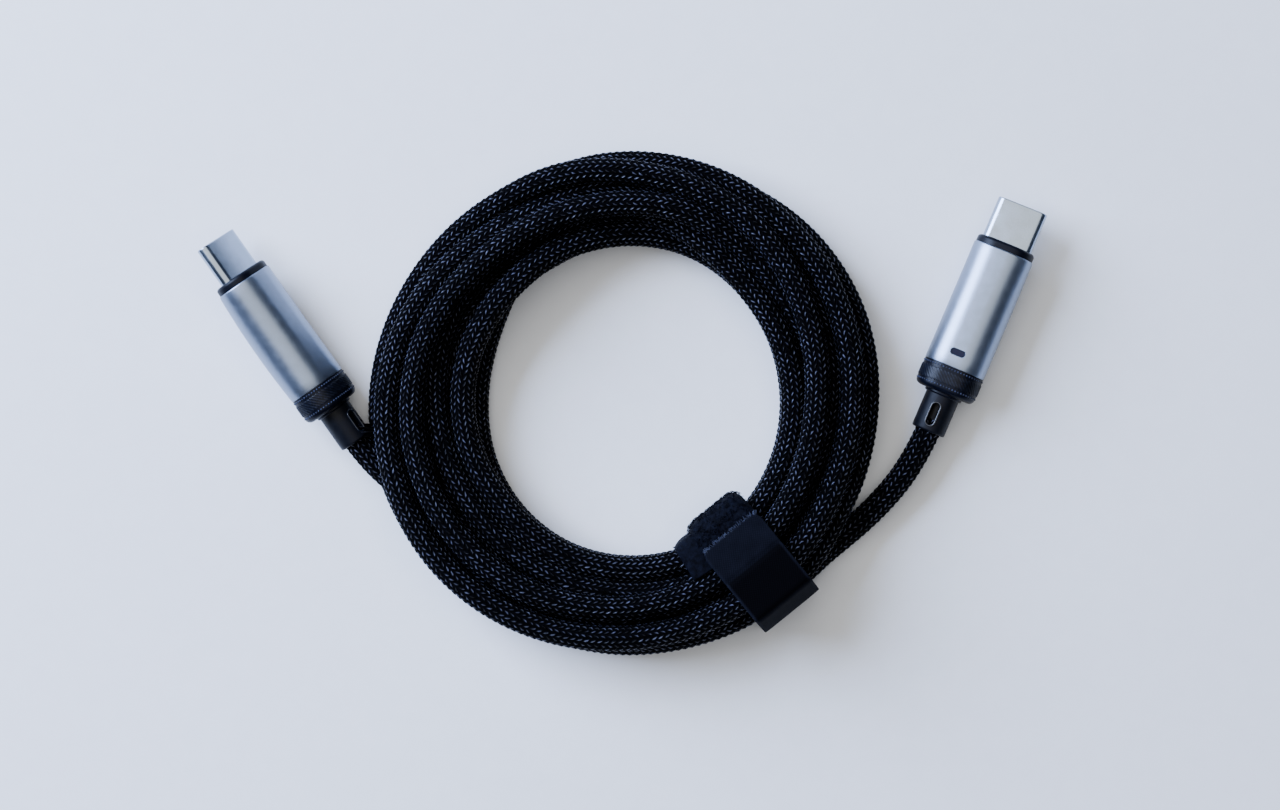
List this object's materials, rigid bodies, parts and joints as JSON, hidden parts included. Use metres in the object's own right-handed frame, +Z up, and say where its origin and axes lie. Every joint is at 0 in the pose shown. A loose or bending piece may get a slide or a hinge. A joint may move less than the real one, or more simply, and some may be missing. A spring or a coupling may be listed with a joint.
{
  "type": "charging cable",
  "caption": "Braided charging cable with the same flat-oval metal plug at both ends, wound in a coil and tied with a hook-and-loop strap.",
  "frame": {"origin": "on the table, under the middle of the whole object's box", "axes": "+Z up from the table, +X along the longest way across, from the left plug to the right plug; the strap lies towards +X and -Y"},
  "size_m": [0.1342, 0.0812, 0.0151],
  "materials": {
    "shell_steel": "satin nickel-plated steel",
    "contact_gold": "gold-plated spring contacts",
    "spring_steel": "plain spring steel",
    "insulator_plastic": "moulded black plastic",
    "board_laminate": "solder-masked laminate",
    "chip_resin": "moulded resin",
    "can_tinplate": "folded tinplate",
    "moulding_plastic": "low-pressure moulding",
    "collar_plastic": "black moulded plastic, fine twill in a band",
    "sleeve_aluminium": "satin anodised",
    "relief_rubber": "smooth soft moulding",
    "jacket_rubber": "extruded",
    "ferrule_brass": "crimped",
    "core_insulation": "extruded",
    "light_diode": "moulded resin",
    "window_clear": "clear light pipe",
    "cord_braid": "tight nylon braid",
    "strap_loop_pile": "brushed loop pile",
    "strap_tape": "smooth woven tape",
    "strap_hooks": "moulded hooks"
  },
  "bodies": {
    "cable": {"cable_coil": "cord_braid", "left_cable_chip": "chip_resin", "left_capacitors": "chip_resin", "left_circuit_board": "board_laminate", "left_contacts_lower": "contact_gold", "left_contacts_upper": "contact_gold", "left_crimp_ferrule": "ferrule_brass", "left_front_collar": "collar_plastic", "left_ground_springs": "spring_steel", "left_inner_jacket": "jacket_rubber", "left_inner_moulding": "moulding_plastic", "left_insulator": "insulator_plastic", "left_latch_plate": "spring_steel", "left_lead": "cord_braid", "left_plug_shell": "shell_steel", "left_rear_collar": "collar_plastic", "left_shield_can": "can_tinplate", "left_sleeve": "sleeve_aluminium", "left_strain_relief": "relief_rubber", "left_wire_cores": "core_insulation", "right_cable_chip": "chip_resin", "right_capacitors": "chip_resin", "right_circuit_board": "board_laminate", "right_contacts_lower": "contact_gold", "right_contacts_upper": "contact_gold", "right_crimp_ferrule": "ferrule_brass", "right_front_collar": "collar_plastic", "right_ground_springs": "spring_steel", "right_inner_jacket": "jacket_rubber", "right_inner_moulding": "moulding_plastic", "right_insulator": "insulator_plastic", "right_latch_plate": "spring_steel", "right_lead": "cord_braid", "right_light_window": "window_clear", "right_plug_shell": "shell_steel", "right_rear_collar": "collar_plastic", "right_shield_can": "can_tinplate", "right_sleeve": "sleeve_aluminium", "right_status_light": "light_diode", "right_strain_relief": "relief_rubber", "right_wire_cores": "core_insulation", "strap_band": "strap_loop_pile", "strap_tail": "strap_tape"},
    "strap_end": {"strap_tab": "strap_tape", "hook_patch": "strap_hooks"}
  },
  "joints": [
    {"name": "strap_peel", "type": "hinge", "parent": "cable", "child": "strap_end", "pos_m": [0.02014, -0.02487, 0.0151], "axis": [0.7771, 0.6293, 0], "range_deg": [0, 110]}
  ]
}
